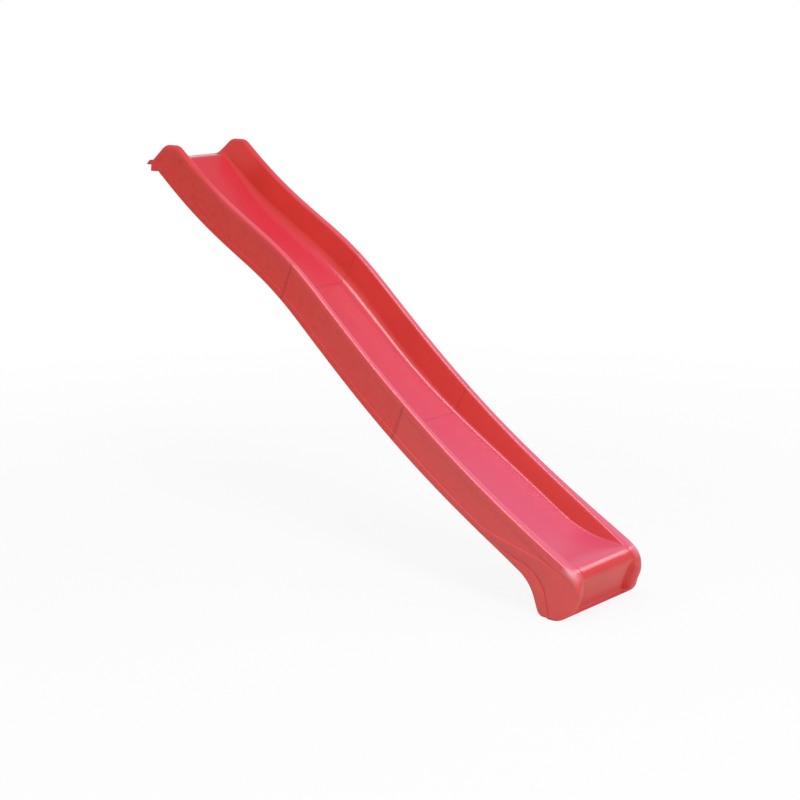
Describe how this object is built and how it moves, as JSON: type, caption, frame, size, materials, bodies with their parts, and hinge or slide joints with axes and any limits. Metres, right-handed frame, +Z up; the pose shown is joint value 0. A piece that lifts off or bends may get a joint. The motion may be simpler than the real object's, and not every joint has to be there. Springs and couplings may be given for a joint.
{
  "type": "wavy garden slide",
  "caption": "Straight-running garden slide with one wave, grab humps, a deck flange, a raised run-out and a foot, moulded as hollow sections bolted under the trough.",
  "frame": {"origin": "middle of the deck flange's underside, which lies on the platform", "axes": "+X level and downhill, +Y across the slide, +Z up"},
  "size_m": [2.1902, 0.4338, 1.5577],
  "materials": {
    "red_plastic": "moulded polyethylene, semi-gloss red",
    "zinc_steel": "zinc-plated steel"
  },
  "bodies": {
    "root": {"upper_section": "red_plastic", "middle_section": "red_plastic", "lower_section": "red_plastic", "joint_1_bolt_1": "zinc_steel", "joint_1_bolt_2": "zinc_steel", "joint_1_bolt_3": "zinc_steel", "joint_1_bolt_4": "zinc_steel", "joint_1_washer_1": "zinc_steel", "joint_1_washer_2": "zinc_steel", "joint_1_washer_3": "zinc_steel", "joint_1_washer_4": "zinc_steel", "joint_1_nut_1": "zinc_steel", "joint_1_nut_2": "zinc_steel", "joint_1_nut_3": "zinc_steel", "joint_1_nut_4": "zinc_steel", "joint_2_bolt_1": "zinc_steel", "joint_2_bolt_2": "zinc_steel", "joint_2_bolt_3": "zinc_steel", "joint_2_bolt_4": "zinc_steel", "joint_2_washer_1": "zinc_steel", "joint_2_washer_2": "zinc_steel", "joint_2_washer_3": "zinc_steel", "joint_2_washer_4": "zinc_steel", "joint_2_nut_1": "zinc_steel", "joint_2_nut_2": "zinc_steel", "joint_2_nut_3": "zinc_steel", "joint_2_nut_4": "zinc_steel"}
  },
  "joints": []
}
